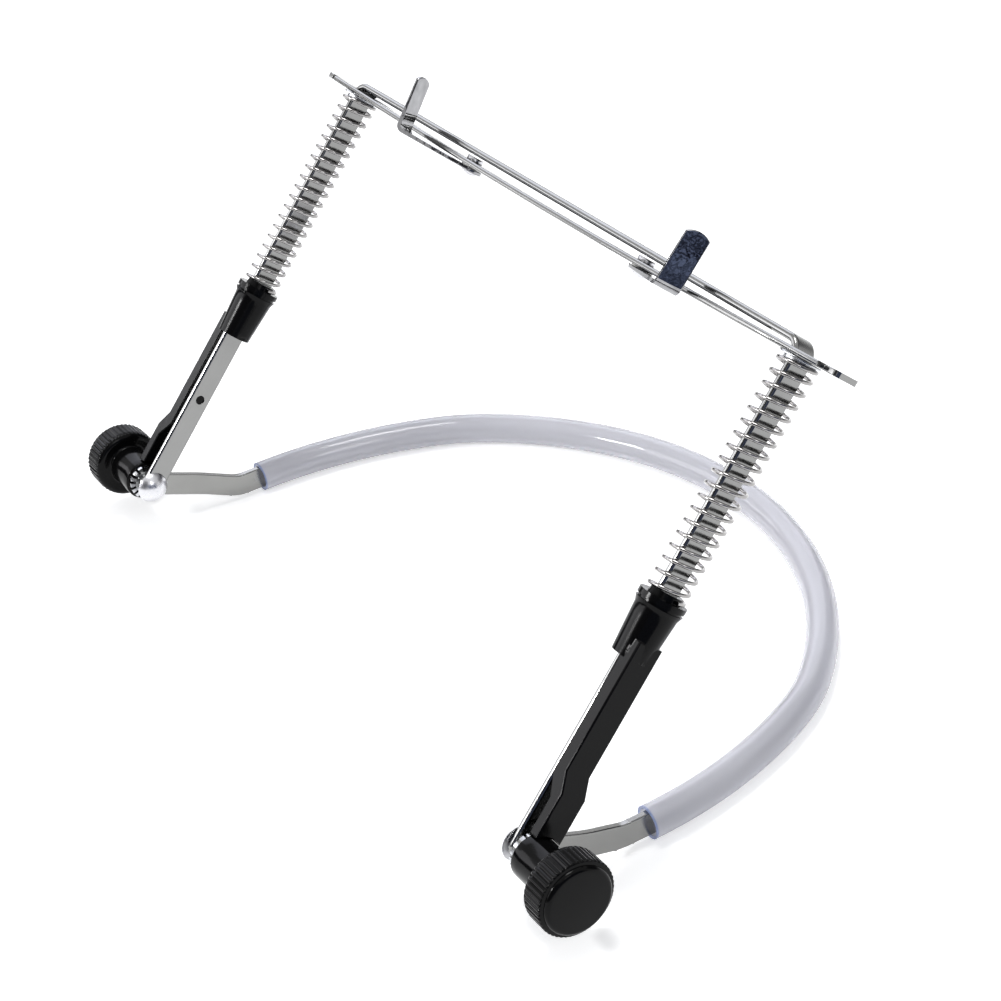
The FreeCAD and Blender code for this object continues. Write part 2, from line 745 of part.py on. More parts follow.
def biarc(start, start_way, end, end_way):
    """Two arcs that leave one point and reach another along given directions."""
    chord = end - start
    both = start_way + end_way
    # The arm of both arcs' control triangles solves a * arm * arm + b * arm + c = 0
    a = 2 * (start_way.dot(end_way) - 1)
    b = -2 * chord.dot(both)
    c = chord.dot(chord)
    arm = (-b - math.sqrt(b * b - 4 * a * c)) / (2 * a) if abs(a) > 1e-12 else -c / b
    tips = (start + start_way * arm, end - end_way * arm)
    middle = (tips[0] + tips[1]) * 0.5
    arcs = []
    for first, tip, last in ((start, tips[0], middle), (middle, tips[1], end)):
        share = (last - first).Length / (2 * (tip - first).Length)
        crown = ((first + last) * 0.5 + tip * share) * (1 / (1 + share))
        arcs.append(Part.Arc(first, crown, last).toShape())
    return arcs


def spring_path(centre, bottom, top):
    """The wire's middle line: open turns between ends that are wound nearly closed."""
    radius = number("spring_radius")
    turns = number("spring_turn_count")
    closed_turns = number("closed_turn_count")
    easing = number("easing_turn_count")
    closed = number("2 * wire_radius + closed_turn_gap")
    height = top - bottom - number("2 * wire_radius")
    growth = (height - closed * turns) / (turns - 2 * closed_turns - easing)

    def rise(turn):
        if turn > turns / 2:
            return height - rise(turns - turn)
        opened = min(max(turn - closed_turns, 0), easing)
        return closed * turn + growth * (opened ** 2 / (2 * easing) + max(turn - closed_turns - easing, 0))

    def pitch(turn):
        opened = min(turn, turns - turn) - closed_turns
        return closed + growth * min(max(opened / easing, 0), 1)

    def place(turn):
        angle = 2 * math.pi * turn
        return Vector(centre.x + radius * math.cos(angle), radius * math.sin(angle),
                      bottom + number("wire_radius") + rise(turn))

    def way(turn):
        angle = 2 * math.pi * turn
        slope = pitch(turn) / (2 * math.pi * radius)
        heading = Vector(-math.sin(angle), math.cos(angle), slope)
        return heading * (1 / heading.Length)

    edges = []
    stops = [step / 8 for step in range(round(8 * turns) + 1)]
    for one, other in zip(stops, stops[1:]):
        edges += biarc(place(one), way(one), place(other), way(other))
    return Part.Wire(edges)


def least_gap(path):
    """The least gap between neighbouring turns of a wound wire."""
    per_turn = 40
    steps = path.discretize(Number=per_turn * round(number("spring_turn_count")))
    window = range(per_turn // 2, per_turn * 3 // 2)
    gaps = [(steps[index + ahead] - step).Length
            for index, step in enumerate(steps) for ahead in window if index + ahead < len(steps)]
    return min(gaps) - 2 * number("wire_radius")


def make_spring(name, side):
    centre = Vector(side * number("strip_axis"), 0, 0)
    path = spring_path(centre, number("spring_bottom + face_gap"), number("seat_bottom - face_gap"))
    start = path.OrderedVertexes[0].Point
    heading = path.OrderedEdges[0].tangentAt(path.OrderedEdges[0].FirstParameter)
    ring = Part.Wire(Part.makeCircle(number("wire_radius"), start, heading))
    shell = Part.BRepOffsetAPI.MakePipeShell(path)
    shell.add(ring)
    shell.build()
    shell.makeSolid()
    piece = doc.addObject("Part::Feature", name)
    piece.Shape = shell.shape()
    print(f"{name}: least gap between turns {least_gap(path):.2f} mm")
    return place_on_frame(piece)


# Clips, washers and rivets


def make_clip(name, side, swing):
    """An L of strip, drawn with its rivet at the origin and its leg along X, then swung to its place."""
    body = new_body(name)
    lean = "tan(clip_flare)"
    skin = "clip_thick / cos(clip_flare)"
    inner_foot = f"clip_reach + clip_thick * {lean} - {skin}"
    top = f"clip_reach + clip_height * {lean}"
    profile = [("-cut_overrun", ZERO), ("clip_reach", ZERO), (top, "clip_height"),
               (f"{top} - {skin}", "clip_height"), (inner_foot, "clip_thick"), ("-cut_overrun", "clip_thick")]
    bar = outline(sketch_on(body, "XZ_Plane", name + "_profile"), profile)
    pad(body, bar, "clip_width", both_ways=True)
    pad(body, circle(sketch_on(body, "XY_Plane", name + "_end"), ZERO, ZERO, "clip_width / 2"), "clip_thick")

    def at_bend(edge, across, up):
        point = edge.Vertexes[0].Point
        return runs_along(edge, Vector(0, 1, 0)) and near(point.x, across) and near(point.z, up)

    reach = number("clip_reach")
    round_edges(body, name + "_bend_outside", "clip_bend_radius", lambda edge: at_bend(edge, reach, 0))
    foot = number(inner_foot)
    thick = number("clip_thick")
    round_edges(body, name + "_bend_inside", "clip_bend_radius - clip_thick",
                lambda edge: at_bend(edge, foot, thick))

    half = "(clip_width / 2)"
    crown_radius = f"(({half} * {half} + clip_crown * clip_crown) / (2 * clip_crown))"
    waste = sketch_on(body, "YZ_Plane", name + "_crown")
    beyond = f"{half} + cut_overrun / 2"
    arc = bowed_edge(waste, "clip_height - " + crown_radius, crown_radius, beyond, below=False)
    lid = waste.addGeometry(Part.LineSegment(Vector(-number(beyond), number("clip_height + cut_overrun"), 0),
                                             Vector(number(beyond), number("clip_height + cut_overrun"), 0)))
    fix_point(waste, lid, 1, f"-({beyond})", "clip_height + cut_overrun")
    fix_point(waste, lid, 2, beyond, "clip_height + cut_overrun")
    join(waste, arc, 1, lid, 2)
    join(waste, arc, 2, lid, 1)
    pocket(body, waste, f"2 * ({top} + cut_overrun)", both_ways=True)
    hole = circle(sketch_on(body, "XY_Plane", name + "_hole", lift="-cut_overrun"), ZERO, ZERO,
                  "rivet_radius + rivet_fit")
    pocket(body, hole, "clip_thick + 2 * cut_overrun", backwards=True)
    turn = f"-{swing}" if side > 0 else f"180 + {swing}"
    frame = "placement(vector(0; pivot_y; pivot_z); rotation(vector(-1; 0; 0); lean_angle))"
    swung = f"placement(vector({side} * rivet_x; 0; clip_bottom); rotation(vector(0; 0; 1); {turn}))"
    bind(body, Placement=f"{frame} * {swung}")
    return body


def make_clip_washer():
    ring = primitive("Cylinder", "clip_washer_ring", ("rivet_x", ZERO, "washer_top - clip_washer_thick"),
                     Radius="clip_washer_radius", Height="clip_washer_thick")
    bore = primitive("Cylinder", "clip_washer_bore", ("rivet_x", ZERO, "clip_top - cut_overrun"),
                     Radius="rivet_radius + rivet_fit", Height="clip_washer_thick + 2 * cut_overrun")
    return place_on_frame(cut("clip_washer_right", ring, bore))


def make_rivet():
    """A rivet whose top head also holds the plate a little below the crossbar."""
    top = "(arm_height - arm_thick - face_gap)"
    shank = primitive("Cylinder", "rivet_shank", ("rivet_x", ZERO, "clip_bottom - face_gap"),
                      Radius="rivet_radius", Height=f"{top} - clip_bottom + face_gap")
    head = primitive("Cylinder", "rivet_head", ("rivet_x", ZERO, "head_bottom"),
                     Radius="rivet_head_radius", Height=f"{top} - head_bottom")
    down = Rotation(Vector(1, 0, 0), 180)
    foot = dome("rivet_foot", ("rivet_x", ZERO, "clip_bottom - face_gap"), down, "rivet_head_radius",
                "rivet_foot_height")
    return place_on_frame(fuse("clip_rivet_right", shank, head, foot))


def check(objects):
    """Stop if anything failed to build or has a shape that isn't a sound solid."""
    for thing in objects:
        if "Invalid" in thing.State or "Error" in thing.State:
            raise RuntimeError(f"{thing.Name}: {thing.State}")


nodes = {
    "neck_yoke": placed_shape("neck_yoke", make_yoke()),
    "neck_tube": placed_shape("neck_tube", make_tube()),
    "arm_frame": make_arm_frame(),
    "slide_plate": make_plate(),
    "spring_right": make_spring("spring_right", 1),
    "spring_left": make_spring("spring_left", -1),
    "clip_right": make_clip("clip_right", 1, "clip_swing_right"),
    "clip_left": make_clip("clip_left", -1, "clip_swing_left"),
}
for make in (make_sleeve, make_bolt, make_lock_washer, make_knob, make_insert, make_seat,
             make_clip_washer, make_rivet):
    right = make()
    nodes[right.Name] = right
    name = right.Name.replace("_right", "_left")
    nodes[name] = mirrored(right, name)

doc.recompute()
check(doc.Objects)
os.makedirs("parts", exist_ok=True)
for name, piece in nodes.items():
    piece.Label = name
    shape = piece.Shape
    if shape.isNull() or not shape.isValid() or not shape.Solids:
        raise RuntimeError(f"{name} has no sound solid")
    shape.exportStep(f"parts/{name}.step")
    print(f"{name}: {len(shape.Solids)} solid, {shape.Volume:.1f} mm3, {shape.BoundBox}")
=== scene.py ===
"""A harmonica holder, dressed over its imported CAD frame. Metres, +Z up, +X along the crossbar."""

import json
import math

import bmesh
import bpy
from mathutils import Matrix, Vector


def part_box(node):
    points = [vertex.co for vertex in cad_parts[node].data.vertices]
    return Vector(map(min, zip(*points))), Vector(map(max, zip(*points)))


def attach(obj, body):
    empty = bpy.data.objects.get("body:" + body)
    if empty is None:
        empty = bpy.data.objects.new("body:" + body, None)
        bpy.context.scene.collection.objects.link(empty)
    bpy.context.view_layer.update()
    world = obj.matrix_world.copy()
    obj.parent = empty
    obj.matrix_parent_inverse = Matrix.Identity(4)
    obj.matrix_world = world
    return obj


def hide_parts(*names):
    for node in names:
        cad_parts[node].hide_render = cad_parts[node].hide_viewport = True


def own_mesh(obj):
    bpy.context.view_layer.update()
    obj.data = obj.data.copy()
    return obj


MM = 0.001
JOINED = 1e-6

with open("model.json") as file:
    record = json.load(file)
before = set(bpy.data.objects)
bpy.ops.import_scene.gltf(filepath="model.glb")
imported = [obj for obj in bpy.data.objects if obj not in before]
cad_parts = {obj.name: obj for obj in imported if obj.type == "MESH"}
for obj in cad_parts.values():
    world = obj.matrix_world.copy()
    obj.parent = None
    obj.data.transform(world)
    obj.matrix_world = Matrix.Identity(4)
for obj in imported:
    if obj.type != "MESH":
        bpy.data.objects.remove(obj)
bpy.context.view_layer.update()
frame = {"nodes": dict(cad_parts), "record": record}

# The clamp frame's own axes: the pivots on X, the arms along Z. It leans back about the pivots.
LEAN = math.radians(42.4)
PIVOT = Vector((0, -67.3103, 15.6085)) * MM
ON_FRAME = Matrix.Translation(PIVOT) @ Matrix.Rotation(-LEAN, 4, "X")
UP_ARM = ON_FRAME.to_3x3() @ Vector((0, 0, 1))


def on_arm(place):
    """A place in the clamp frame's own axes."""
    return ON_FRAME.inverted() @ place


# Shader nodes

NOISE_LOW, NOISE_HIGH = 0.25, 0.75


def new_material(name):
    """A material with a plain Principled shader, and that shader."""
    material = bpy.data.materials.new(name)
    material.use_nodes = True
    return material, material.node_tree.nodes["Principled BSDF"]


def wire(tree, out, into):
    tree.links.new(out, into)


def object_noise(tree, scale, detail=3.0):
    """Noise over the piece's own coordinates. Scale is in waves per metre."""
    where = tree.nodes.new("ShaderNodeTexCoord")
    mapping = tree.nodes.new("ShaderNodeMapping")
    noise = tree.nodes.new("ShaderNodeTexNoise")
    noise.inputs["Scale"].default_value = scale
    noise.inputs["Detail"].default_value = detail
    wire(tree, where.outputs["Object"], mapping.inputs["Vector"])
    wire(tree, mapping.outputs["Vector"], noise.inputs["Vector"])
    return noise.outputs["Fac"]


def spread(tree, fac, low, high):
    """Stretch the values that noise mostly takes over the range from low to high."""
    span = tree.nodes.new("ShaderNodeMapRange")
    span.inputs["From Min"].default_value = NOISE_LOW
    span.inputs["From Max"].default_value = NOISE_HIGH
    span.inputs["To Min"].default_value = low
    span.inputs["To Max"].default_value = high
    wire(tree, fac, span.inputs["Value"])
    return span.outputs["Result"]


def tint(tree, fac, one, other):
    """The first colour where the factor is 0, the other where it is 1."""
    mix = tree.nodes.new("ShaderNodeMix")
    mix.data_type = "RGBA"
    mix.inputs["A"].default_value = (*one, 1)
    mix.inputs["B"].default_value = (*other, 1)
    wire(tree, fac, mix.inputs["Factor"])
    return mix.outputs["Result"]


def add_bump(tree, shader, height, strength, distance):
    bump = tree.nodes.new("ShaderNodeBump")
    bump.inputs["Strength"].default_value = strength
    bump.inputs["Distance"].default_value = distance
    wire(tree, height, bump.inputs["Height"])
    wire(tree, bump.outputs["Normal"], shader.inputs["Normal"])


# Finishes

POLISH_WAVES = 220
RIPPLE_DEPTH = 0.06
TONE_WAVES, SHEEN_WAVES, GRAIN_WAVES = 90, 300, 2600
GRAIN_DEPTH = 0.05 * MM
LIGHTER_TONE = 1.6
MILKY_VINYL = (0.88, 0.88, 0.94)
CUT_BLUE = (0.40, 0.50, 0.86)


def plated(name, bright, dull, smooth, rough, ripple, waves=140, clouds=60):
    """Plated steel: a mirror whose polish and tone vary, over the faint ripple of rolled strip."""
    material, shader = new_material(name)
    tree = material.node_tree
    shader.inputs["Metallic"].default_value = 1.0
    cloud = spread(tree, object_noise(tree, clouds), 0.0, 1.0)
    wire(tree, tint(tree, cloud, dull, bright), shader.inputs["Base Color"])
    polish = spread(tree, object_noise(tree, POLISH_WAVES), smooth, rough)
    wire(tree, polish, shader.inputs["Roughness"])
    add_bump(tree, shader, object_noise(tree, waves, 2.0), ripple, RIPPLE_DEPTH / waves)
    return material


def moulded(name, colour, smooth, rough, grain, gloss):
    """Moulded plastic: a satin skin with a fine grain from the mould."""
    material, shader = new_material(name)
    tree = material.node_tree
    shader.inputs["IOR"].default_value = 1.5
    shader.inputs["Specular IOR Level"].default_value = gloss
    lighter = tuple(min(1.0, part * LIGHTER_TONE) for part in colour)
    tone = tint(tree, object_noise(tree, TONE_WAVES), colour, lighter)
    wire(tree, tone, shader.inputs["Base Color"])
    sheen = spread(tree, object_noise(tree, SHEEN_WAVES), smooth, rough)
    wire(tree, sheen, shader.inputs["Roughness"])
    add_bump(tree, shader, object_noise(tree, GRAIN_WAVES, 2.0), grain, GRAIN_DEPTH)
    return material


def clear_vinyl(name):
    """Clear soft vinyl, a little milky, with the blue of its thickness showing at the cut ends."""
    material, shader = new_material(name)
    tree = material.node_tree
    cut = tree.nodes.new("ShaderNodeAttribute")
    cut.attribute_name = "cut_end"
    wire(tree, tint(tree, cut.outputs["Fac"], MILKY_VINYL, CUT_BLUE), shader.inputs["Base Color"])
    shader.inputs["Transmission Weight"].default_value = 0.5
    shader.inputs["IOR"].default_value = 1.42
    wire(tree, spread(tree, object_noise(tree, 30, 1.0), 0.05, 0.08), shader.inputs["Roughness"])
    add_bump(tree, shader, object_noise(tree, 25, 0.0), 0.04, 0.4 * MM)
    return material


# Plated: bright and dull tone, smooth and rough polish, ripple, then its waves and tone clouds
PLATED = {
    "frame_steel": ((0.28, 0.28, 0.276), (0.25, 0.25, 0.246), 0.10, 0.18, 0.05),
    "yoke_steel": ((0.29, 0.29, 0.282), (0.245, 0.245, 0.238), 0.18, 0.28, 0.03),
    "bolt_chrome": ((0.74, 0.74, 0.76), (0.58, 0.58, 0.61), 0.20, 0.34, 0.70, 420),
    "spring_wire": ((0.40, 0.39, 0.38), (0.32, 0.31, 0.31), 0.08, 0.16, 0.05),
    "clip_chrome": ((0.40, 0.40, 0.41), (0.26, 0.26, 0.27), 0.02, 0.07, 0.20, 420, 330),
    "washer_steel": ((0.60, 0.61, 0.63), (0.50, 0.51, 0.53), 0.16, 0.28, 0.10),
    "insert_brass": ((0.72, 0.55, 0.25), (0.62, 0.46, 0.20), 0.16, 0.26, 0.10),
}
# Moulded: colour, smooth and rough sheen, grain, gloss
MOULDED = {
    "moulding_black": ((0.002, 0.002, 0.0022), 0.12, 0.20, 0.10, 0.12),
    "knob_black": ((0.002, 0.002, 0.0021), 0.08, 0.14, 0.12, 0.11),
    "washer_nylon": ((0.46, 0.46, 0.44), 0.35, 0.50, 0.10, 0.50),
}
FINISHES = {name: plated(name, *values) for name, values in PLATED.items()}
FINISHES.update({name: moulded(name, *values) for name, values in MOULDED.items()})
FINISHES["tube_vinyl"] = clear_vinyl("tube_vinyl")

FINISH_OF = {entry["node"]: entry["material_slot"] for entry in frame["record"]["subparts"]}
BODY_OF = {node: body for body, nodes in frame["record"]["behaviour"]["bodies"].items()
           for node in nodes}

for node, piece in frame["nodes"].items():
    for slot in piece.material_slots:
        slot.material = FINISHES[FINISH_OF[node]]


# Pieces

FLAT_WITHIN = math.radians(0.1)
SHARP_FROM = math.radians(50)


def finish_piece(name, form, node, smooth_angle=35):
    """Make a mesh of a bmesh, shade it, and let it stand for its CAD node."""
    mesh = bpy.data.meshes.new(name)
    form.to_mesh(mesh)
    form.free()
    mesh.shade_smooth()
    mesh.set_sharp_from_angle(angle=math.radians(smooth_angle))
    mesh.materials.append(FINISHES[FINISH_OF[node]])
    piece = bpy.data.objects.new(name, mesh)
    bpy.context.scene.collection.objects.link(piece)
    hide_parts(node)
    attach(piece, BODY_OF[node])
    return piece


def merged_copy(node):
    """A bmesh copy of a CAD node, with its loose triangles joined and its flats made whole."""
    form = bmesh.new()
    form.from_mesh(frame["nodes"][node].data)
    bmesh.ops.remove_doubles(form, verts=form.verts, dist=JOINED)
    bmesh.ops.dissolve_limit(form, angle_limit=FLAT_WITHIN, verts=form.verts, edges=form.edges)
    return form


def break_edges(form, edges, width, steps):
    bmesh.ops.bevel(form, geom=edges, offset=width, offset_type="OFFSET", segments=steps,
                    profile=0.5, affect="EDGES", material=-1, clamp_overlap=False)


def round_over(form, edges, width, steps):
    break_edges(form, edges, width, steps)
    bmesh.ops.dissolve_degenerate(form, dist=JOINED, edges=form.edges)


def sharp_edges(form, shortest=0.0):
    return [edge for edge in form.edges if edge.is_manifold and edge.calc_length() > shortest
            and edge.calc_face_angle() > SHARP_FROM]


def keep_flats_even(piece):
    piece.modifiers.new("even_flats", "WEIGHTED_NORMAL").keep_sharp = True


def eased_copy(node, width, steps=2, shortest=0.0):
    """A copy of a CAD node with its sharp edges rounded, as plating and moulding leave them.

    Edges up to the shortest length stay sharp: they belong to bends tighter than the rounding.
    """
    form = merged_copy(node)
    round_over(form, sharp_edges(form, shortest), width, steps)
    piece = finish_piece(node + "_eased", form, node)
    keep_flats_even(piece)
    return piece


ARM_FROM = 100 * MM
PIVOT_HOLE_REACH = 3.2 * MM
SMALL_HOLE_REACH = 3.0 * MM
RIM_BREAK = 0.15 * MM
ROLLED_BORDER = 0.9 * MM


def in_arm_hole(place):
    """Whether a place in the frame's own axes is at the rim of an arm's pivot hole or small hole."""
    at_pivot = math.hypot(place.y, place.z) < PIVOT_HOLE_REACH
    up_the_arm = place.z > PIVOT_HOLE_REACH and abs(place.y) < SMALL_HOLE_REACH
    return abs(place.x) > ARM_FROM and (at_pivot or up_the_arm)


def rolled_frame():
    """The frame's strip, with the round borders of rolled strip and lightly broken hole rims."""
    form = merged_copy("arm_frame")
    rims, borders = [], []
    for edge in sharp_edges(form):
        middle = on_arm((edge.verts[0].co + edge.verts[1].co) / 2)
        (rims if in_arm_hole(middle) else borders).append(edge)
    break_edges(form, rims, RIM_BREAK, 2)
    borders = [edge for edge in borders if edge.is_valid]
    round_over(form, borders, ROLLED_BORDER, 6)
    keep_flats_even(finish_piece("rolled_frame", form, "arm_frame"))


RIVET_EASING = 0.15 * MM
UPSET_HEIGHT = 0.9 * MM
HAMMERED_SHARE = 0.55


def low_rivet(side):
    """A clip's rivet, with its upset end hammered down close to the plate."""
    piece = eased_copy(f"clip_rivet_{side}", RIVET_EASING)
    heights = [on_arm(vert.co).z for vert in piece.data.vertices]
    plate_top = max(heights) - UPSET_HEIGHT
    for vert, height in zip(piece.data.vertices, heights):
        if height > plate_top:
            vert.co -= UP_ARM * (height - plate_top) * HAMMERED_SHARE


CUT_ZONE = 12 * MM
CUT_RING = 0.5 * MM
BLUE_DEPTH = 0.45 * MM


def clear_tube():
    """The tube, marked near its two cut ends."""
    form = merged_copy("neck_tube")
    ends = [(face.calc_center_median(), face.normal.copy()) for face in form.faces
            if face.normal.y < -0.8 and abs(face.normal.z) < 0.05]
    for centre, normal in ends:
        near = [part for part in form.faces[:]
                if (part.calc_center_median() - centre).length < CUT_ZONE]
        near += list({edge for face in near for edge in face.edges})
        bmesh.ops.bisect_plane(form, geom=near, dist=1e-7, plane_co=centre - normal * CUT_RING,
                               plane_no=normal)
    mark = form.verts.layers.float.new("cut_end")
    for vert in form.verts:
        depth = min((centre - vert.co).dot(normal) for centre, normal in ends
                    if centre.x * vert.co.x > 0)
        vert[mark] = max(0.0, 1 - max(depth, 0) / BLUE_DEPTH)
    finish_piece("clear_tube", form, "neck_tube", 50)


# The knob's sizes are in millimetres, as its profile is
KNOB_THICKNESS = 9.8
KNOB_RADIUS = 10.4
HUB_RADIUS = 6.0
BORE_RADIUS, BORE_DEPTH = 3.35, 14.05
FLUTES = 48
STEPS_PER_FLUTE = 8
FLUTE_DEPTH = 0.35 * MM
FLUTE_WIDTH_SHARE = 0.62
FLUTED_BAND = 0.3 * MM
PLAIN_FRONT = 1.7


def rounded(centre, radius, first, last, steps):
    """Points of an arc in a lathe profile, with angles in degrees from the axis."""
    turns = [math.radians(first + (last - first) * step / steps) for step in range(steps + 1)]
    return [(centre[0] + radius * math.cos(turn), centre[1] + radius * math.sin(turn))
            for turn in turns]


def knob_profile(hub_face, front):
    """The knob's section from the middle of its face to the bottom of its bore."""
    back = front - KNOB_THICKNESS
    domed_face = [(front, 0), (front - 0.04, 3.2), (front - 0.16, 6.0), (front - 0.26, 7.8)]
    face_shoulder = rounded((front - 1.56, 7.95), 1.3, 12, 90, 10)
    rim = [(front - 1.65, 9.45)] + rounded((front - 2.3, 9.75), 0.65, 15, 90, 6)
    fluted = [(front - 2.6, KNOB_RADIUS), (back + 5.0, KNOB_RADIUS), (back + 2.4, KNOB_RADIUS)]
    back_shoulder = rounded((back + 2.0, 8.4), 2.0, 90, 180, 8) + [(back, 7.6)]
    neck = rounded((back - 0.8, 6.8), 0.8, 0, -90, 4)
    hub = [(hub_face + 3.0, HUB_RADIUS)] + rounded((hub_face + 0.6, 5.4), 0.6, 90, 180, 4)
    bore = [(hub_face, BORE_RADIUS), (hub_face + BORE_DEPTH, BORE_RADIUS),
            (hub_face + BORE_DEPTH, 0)]
    return domed_face + face_shoulder + rim + fluted + back_shoulder + neck + hub + bore


def cut_flutes(form, front):
    """Draw the rim in round the knob, once for each flute, behind its plain front."""
    for vert in form.verts:
        across = math.hypot(vert.co.y, vert.co.z)
        if across > KNOB_RADIUS * MM - FLUTED_BAND and vert.co.x < (front - PLAIN_FRONT) * MM:
            phase = (math.atan2(vert.co.y, vert.co.z) / math.tau * FLUTES + 0.5) % 1 - 0.5
            scoop = max(0.0, math.cos(math.pi * phase / FLUTE_WIDTH_SHARE))
            shrink = 1 - FLUTE_DEPTH * scoop / across
            vert.co.y *= shrink
            vert.co.z *= shrink


def clamp_knob(side, hand):
    """A fluted knob: a raised, slightly domed face, a soft shoulder behind and a hub."""
    low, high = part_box(f"knob_{side}")
    hub_face, front = sorted((abs(low[0]), abs(high[0])))
    hub_face, front = hub_face / MM, front / MM

    form = bmesh.new()
    ring = [form.verts.new((x * MM, 0, r * MM)) for x, r in knob_profile(hub_face, front)]
    edges = [form.edges.new(pair) for pair in zip(ring, ring[1:])]
    bmesh.ops.spin(form, geom=ring + edges, cent=(0, 0, 0), axis=(1, 0, 0), angle=math.tau,
                   steps=FLUTES * STEPS_PER_FLUTE, use_merge=True)
    bmesh.ops.remove_doubles(form, verts=form.verts, dist=JOINED)
    bmesh.ops.recalc_face_normals(form, faces=form.faces)
    cut_flutes(form, front)
    bmesh.ops.transform(form, matrix=ON_FRAME, verts=form.verts)
    if hand < 0:
        bmesh.ops.scale(form, vec=(-1, 1, 1), verts=form.verts)
        bmesh.ops.reverse_faces(form, faces=form.faces)
    finish_piece(f"clamp_knob_{side}", form, f"knob_{side}")


WIRE_SLIMMING = 0.10 * MM


def wound_spring(side):
    """The spring's wire, slimmed a little, on a mesh of its own. The real spring shortens along the
    arm as the plate goes down.
    """
    form = merged_copy(f"spring_{side}")
    form.normal_update()
    for vert in form.verts:
        vert.co -= vert.normal * WIRE_SLIMMING
    piece = finish_piece(f"wound_spring_{side}", form, f"spring_{side}", 60)
    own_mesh(piece)


for side, hand in (("left", -1), ("right", 1)):
    eased_copy(f"clip_{side}", 0.28 * MM, steps=3, shortest=0.3 * MM)
    low_rivet(side)
    eased_copy(f"arm_sleeve_{side}", 0.35 * MM, steps=3, shortest=1.0 * MM)
    eased_copy(f"spring_seat_{side}", 0.12 * MM)
    clamp_knob(side, hand)
    wound_spring(side)
rolled_frame()
eased_copy("slide_plate", 0.3 * MM, steps=3, shortest=1.0 * MM)
eased_copy("neck_yoke", 0.4 * MM, steps=3, shortest=0.4 * MM)
clear_tube()


# Studio

MIDDLE = (0, 0, 0.09)
LOW_MIDDLE = (0, 0, 0.05)
FLOOR_HALF = 3.0
FLOOR_DROP = 0.2 * MM
FLOOR_GLOW = 0.45
FILL_COLOUR = (0.94, 0.96, 1.0, 1)
FILL_STRENGTH = 0.42
BLOTCH_WAVES = 45
BLOTCH_DETAIL = 6.0
BLOTCH_RANGE = (-0.5, 1.1)


def point_at(thing, place, target):
    thing.location = place
    way = Vector(target) - Vector(place)
    thing.rotation_euler = way.to_track_quat("-Z", "Y").to_euler()


def soft_lamp(name, place, target, size, power):
    lamp = bpy.data.lights.new(name, "AREA")
    lamp.shape = "RECTANGLE"
    lamp.size, lamp.size_y = size
    lamp.energy = power
    thing = bpy.data.objects.new(name, lamp)
    bpy.context.scene.collection.objects.link(thing)
    point_at(thing, place, target)


def seen_rays(tree):
    """1 for camera, glossy and transmission rays, which are shown the white background."""
    rays = tree.nodes.new("ShaderNodeLightPath")
    total = rays.outputs["Is Camera Ray"]
    for kind in ("Is Glossy Ray", "Is Transmission Ray"):
        either = tree.nodes.new("ShaderNodeMath")
        either.operation = "MAXIMUM"
        wire(tree, total, either.inputs[0])
        wire(tree, rays.outputs[kind], either.inputs[1])
        total = either.outputs[0]
    return total


def light_world():
    """A soft grey fill for the holder, and plain white behind it."""
    world = bpy.data.worlds.new("studio")
    bpy.context.scene.world = world
    world.use_nodes = True
    tree = world.node_tree
    around = tree.nodes["Background"]
    around.inputs["Color"].default_value = FILL_COLOUR
    around.inputs["Strength"].default_value = FILL_STRENGTH
    white = tree.nodes.new("ShaderNodeBackground")
    white.inputs["Strength"].default_value = 1.0
    choose = tree.nodes.new("ShaderNodeMixShader")
    wire(tree, seen_rays(tree), choose.inputs["Fac"])
    wire(tree, around.outputs[0], choose.inputs[1])
    wire(tree, white.outputs[0], choose.inputs[2])
    wire(tree, choose.outputs[0], tree.nodes["World Output"].inputs["Surface"])


def flat_card(name, size):
    """A flat square of mesh on its own origin."""
    form = bmesh.new()
    bmesh.ops.create_grid(form, x_segments=1, y_segments=1, size=size)
    mesh = bpy.data.meshes.new(name)
    form.to_mesh(mesh)
    form.free()
    card = bpy.data.objects.new(name, mesh)
    bpy.context.scene.collection.objects.link(card)
    return card


def lay_floor():
    """A pale floor that takes the holder's shadow and goes to white round it."""
    floor = flat_card("floor", FLOOR_HALF)
    floor.location.z = -FLOOR_DROP
    material, shader = new_material("pale_floor")
    tree = material.node_tree
    shader.inputs["Roughness"].default_value = 0.9
    shader.inputs["Specular IOR Level"].default_value = 0.1
    seen = seen_rays(tree)
    wire(tree, tint(tree, seen, (0.8, 0.8, 0.8), (1.0, 1.0, 1.0)), shader.inputs["Base Color"])
    glow = tree.nodes.new("ShaderNodeMath")
    glow.operation = "MULTIPLY"
    glow.inputs[1].default_value = FLOOR_GLOW
    wire(tree, seen, glow.inputs[0])
    shader.inputs["Emission Color"].default_value = (1, 1, 1, 1)
    wire(tree, glow.outputs[0], shader.inputs["Emission Strength"])
    floor.data.materials.append(material)


def compass(bearing, height, distance):
    """A place on a sphere round the holder. Bearing turns from +X towards +Y, in degrees."""
    turn, lift = math.radians(bearing), math.radians(height)
    level = math.cos(lift)
    way = Vector((math.cos(turn) * level, math.sin(turn) * level, math.sin(lift)))
    return Vector(MIDDLE) + way * distance


def reach_across(limits, distance):
    """How long a card is that fills the angle between two limits, in degrees."""
    return 2 * distance * math.tan(math.radians(limits[1] - limits[0]) / 2)


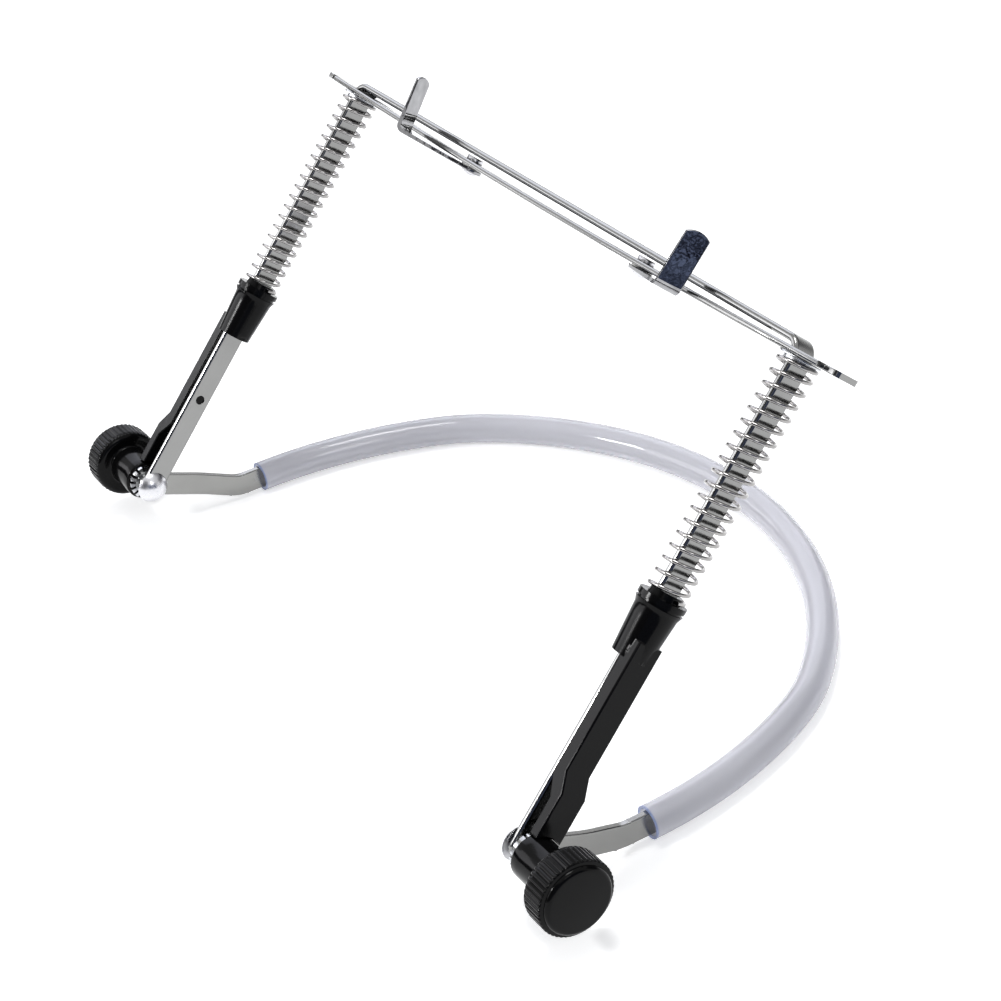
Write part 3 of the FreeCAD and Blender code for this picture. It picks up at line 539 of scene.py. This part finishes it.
def hang_card(name, bearings, heights, shade, distance=1.6, blotch=None):
    """A studio card between two bearings and two heights that only polished surfaces see.

    A blotch is a second shade that comes and goes over the card.
    """
    middle = (sum(bearings) / 2, sum(heights) / 2)
    wide = reach_across(bearings, distance) * math.cos(math.radians(middle[1]))
    card = flat_card(name, 0.5)
    card.scale = (wide, reach_across(heights, distance), 1)
    point_at(card, compass(*middle, distance), MIDDLE)
    for kind in ("camera", "diffuse", "transmission", "shadow", "volume_scatter"):
        setattr(card, "visible_" + kind, False)
    material = bpy.data.materials.new(name)
    material.use_nodes = True
    tree = material.node_tree
    tree.nodes.remove(tree.nodes["Principled BSDF"])
    glow = tree.nodes.new("ShaderNodeEmission")
    if blotch:
        cloud = spread(tree, object_noise(tree, BLOTCH_WAVES, BLOTCH_DETAIL), *BLOTCH_RANGE)
        wire(tree, tint(tree, cloud, shade, blotch), glow.inputs["Color"])
    else:
        glow.inputs["Color"].default_value = (*shade, 1)
    wire(tree, glow.outputs[0], tree.nodes["Material Output"].inputs["Surface"])
    card.data.materials.append(material)


WHITE_CARD = (3.6, 3.6, 3.7)

light_world()
lay_floor()
soft_lamp("front_left_box", compass(254, 30, 1.4), MIDDLE, (0.30, 0.13), 7)
soft_lamp("top_box", (-0.1, 0.05, 1.3), LOW_MIDDLE, (0.4, 0.4), 6)
soft_lamp("right_box", (1.1, -0.1, 0.9), LOW_MIDDLE, (0.4, 0.4), 2)
hang_card("low_dark", (150, 262), (-13, 9), (0.02, 0.02, 0.025), 1.50)
hang_card("bar_grey", (192, 216), (20.5, 32), (1.0, 1.0, 1.03), 1.55)
hang_card("left_white", (200, 262), (9, 21), WHITE_CARD)
hang_card("left_white_high", (217, 262), (21, 34), WHITE_CARD, 1.65)
hang_card("sky", (125, 190), (20, 46), (2.4, 2.45, 2.7))
hang_card("front_dark", (268, 318), (0, 50), (0.06, 0.06, 0.07))
hang_card("right_dark", (-48, 22), (-11.5, 26), (0.010, 0.012, 0.022), 0.42,
          blotch=(0.30, 0.37, 0.58))
hang_card("back_dark", (55, 125), (4, 34), (0.10, 0.10, 0.11))

# The camera stands where the photograph was taken from
EYE = Vector((0.5386, -0.2752, 0.4029))
AHEAD = Vector((-0.763, 0.382, -0.5205)).normalized()
ABOVE = Vector((-0.398, 0.357, 0.845))
LENS = 92.2

camera = bpy.data.cameras.new("camera")
camera.lens = LENS
camera.sensor_width = 36
camera.clip_start = 0.01
eye = bpy.data.objects.new("camera", camera)
bpy.context.scene.collection.objects.link(eye)
across = AHEAD.cross(ABOVE).normalized()
above = across.cross(AHEAD).normalized()
turned = Matrix((across, above, -AHEAD)).transposed()
eye.matrix_world = Matrix.Translation(EYE) @ turned.to_4x4()
bpy.context.scene.camera = eye
bpy.context.scene.view_settings.view_transform = "Standard"
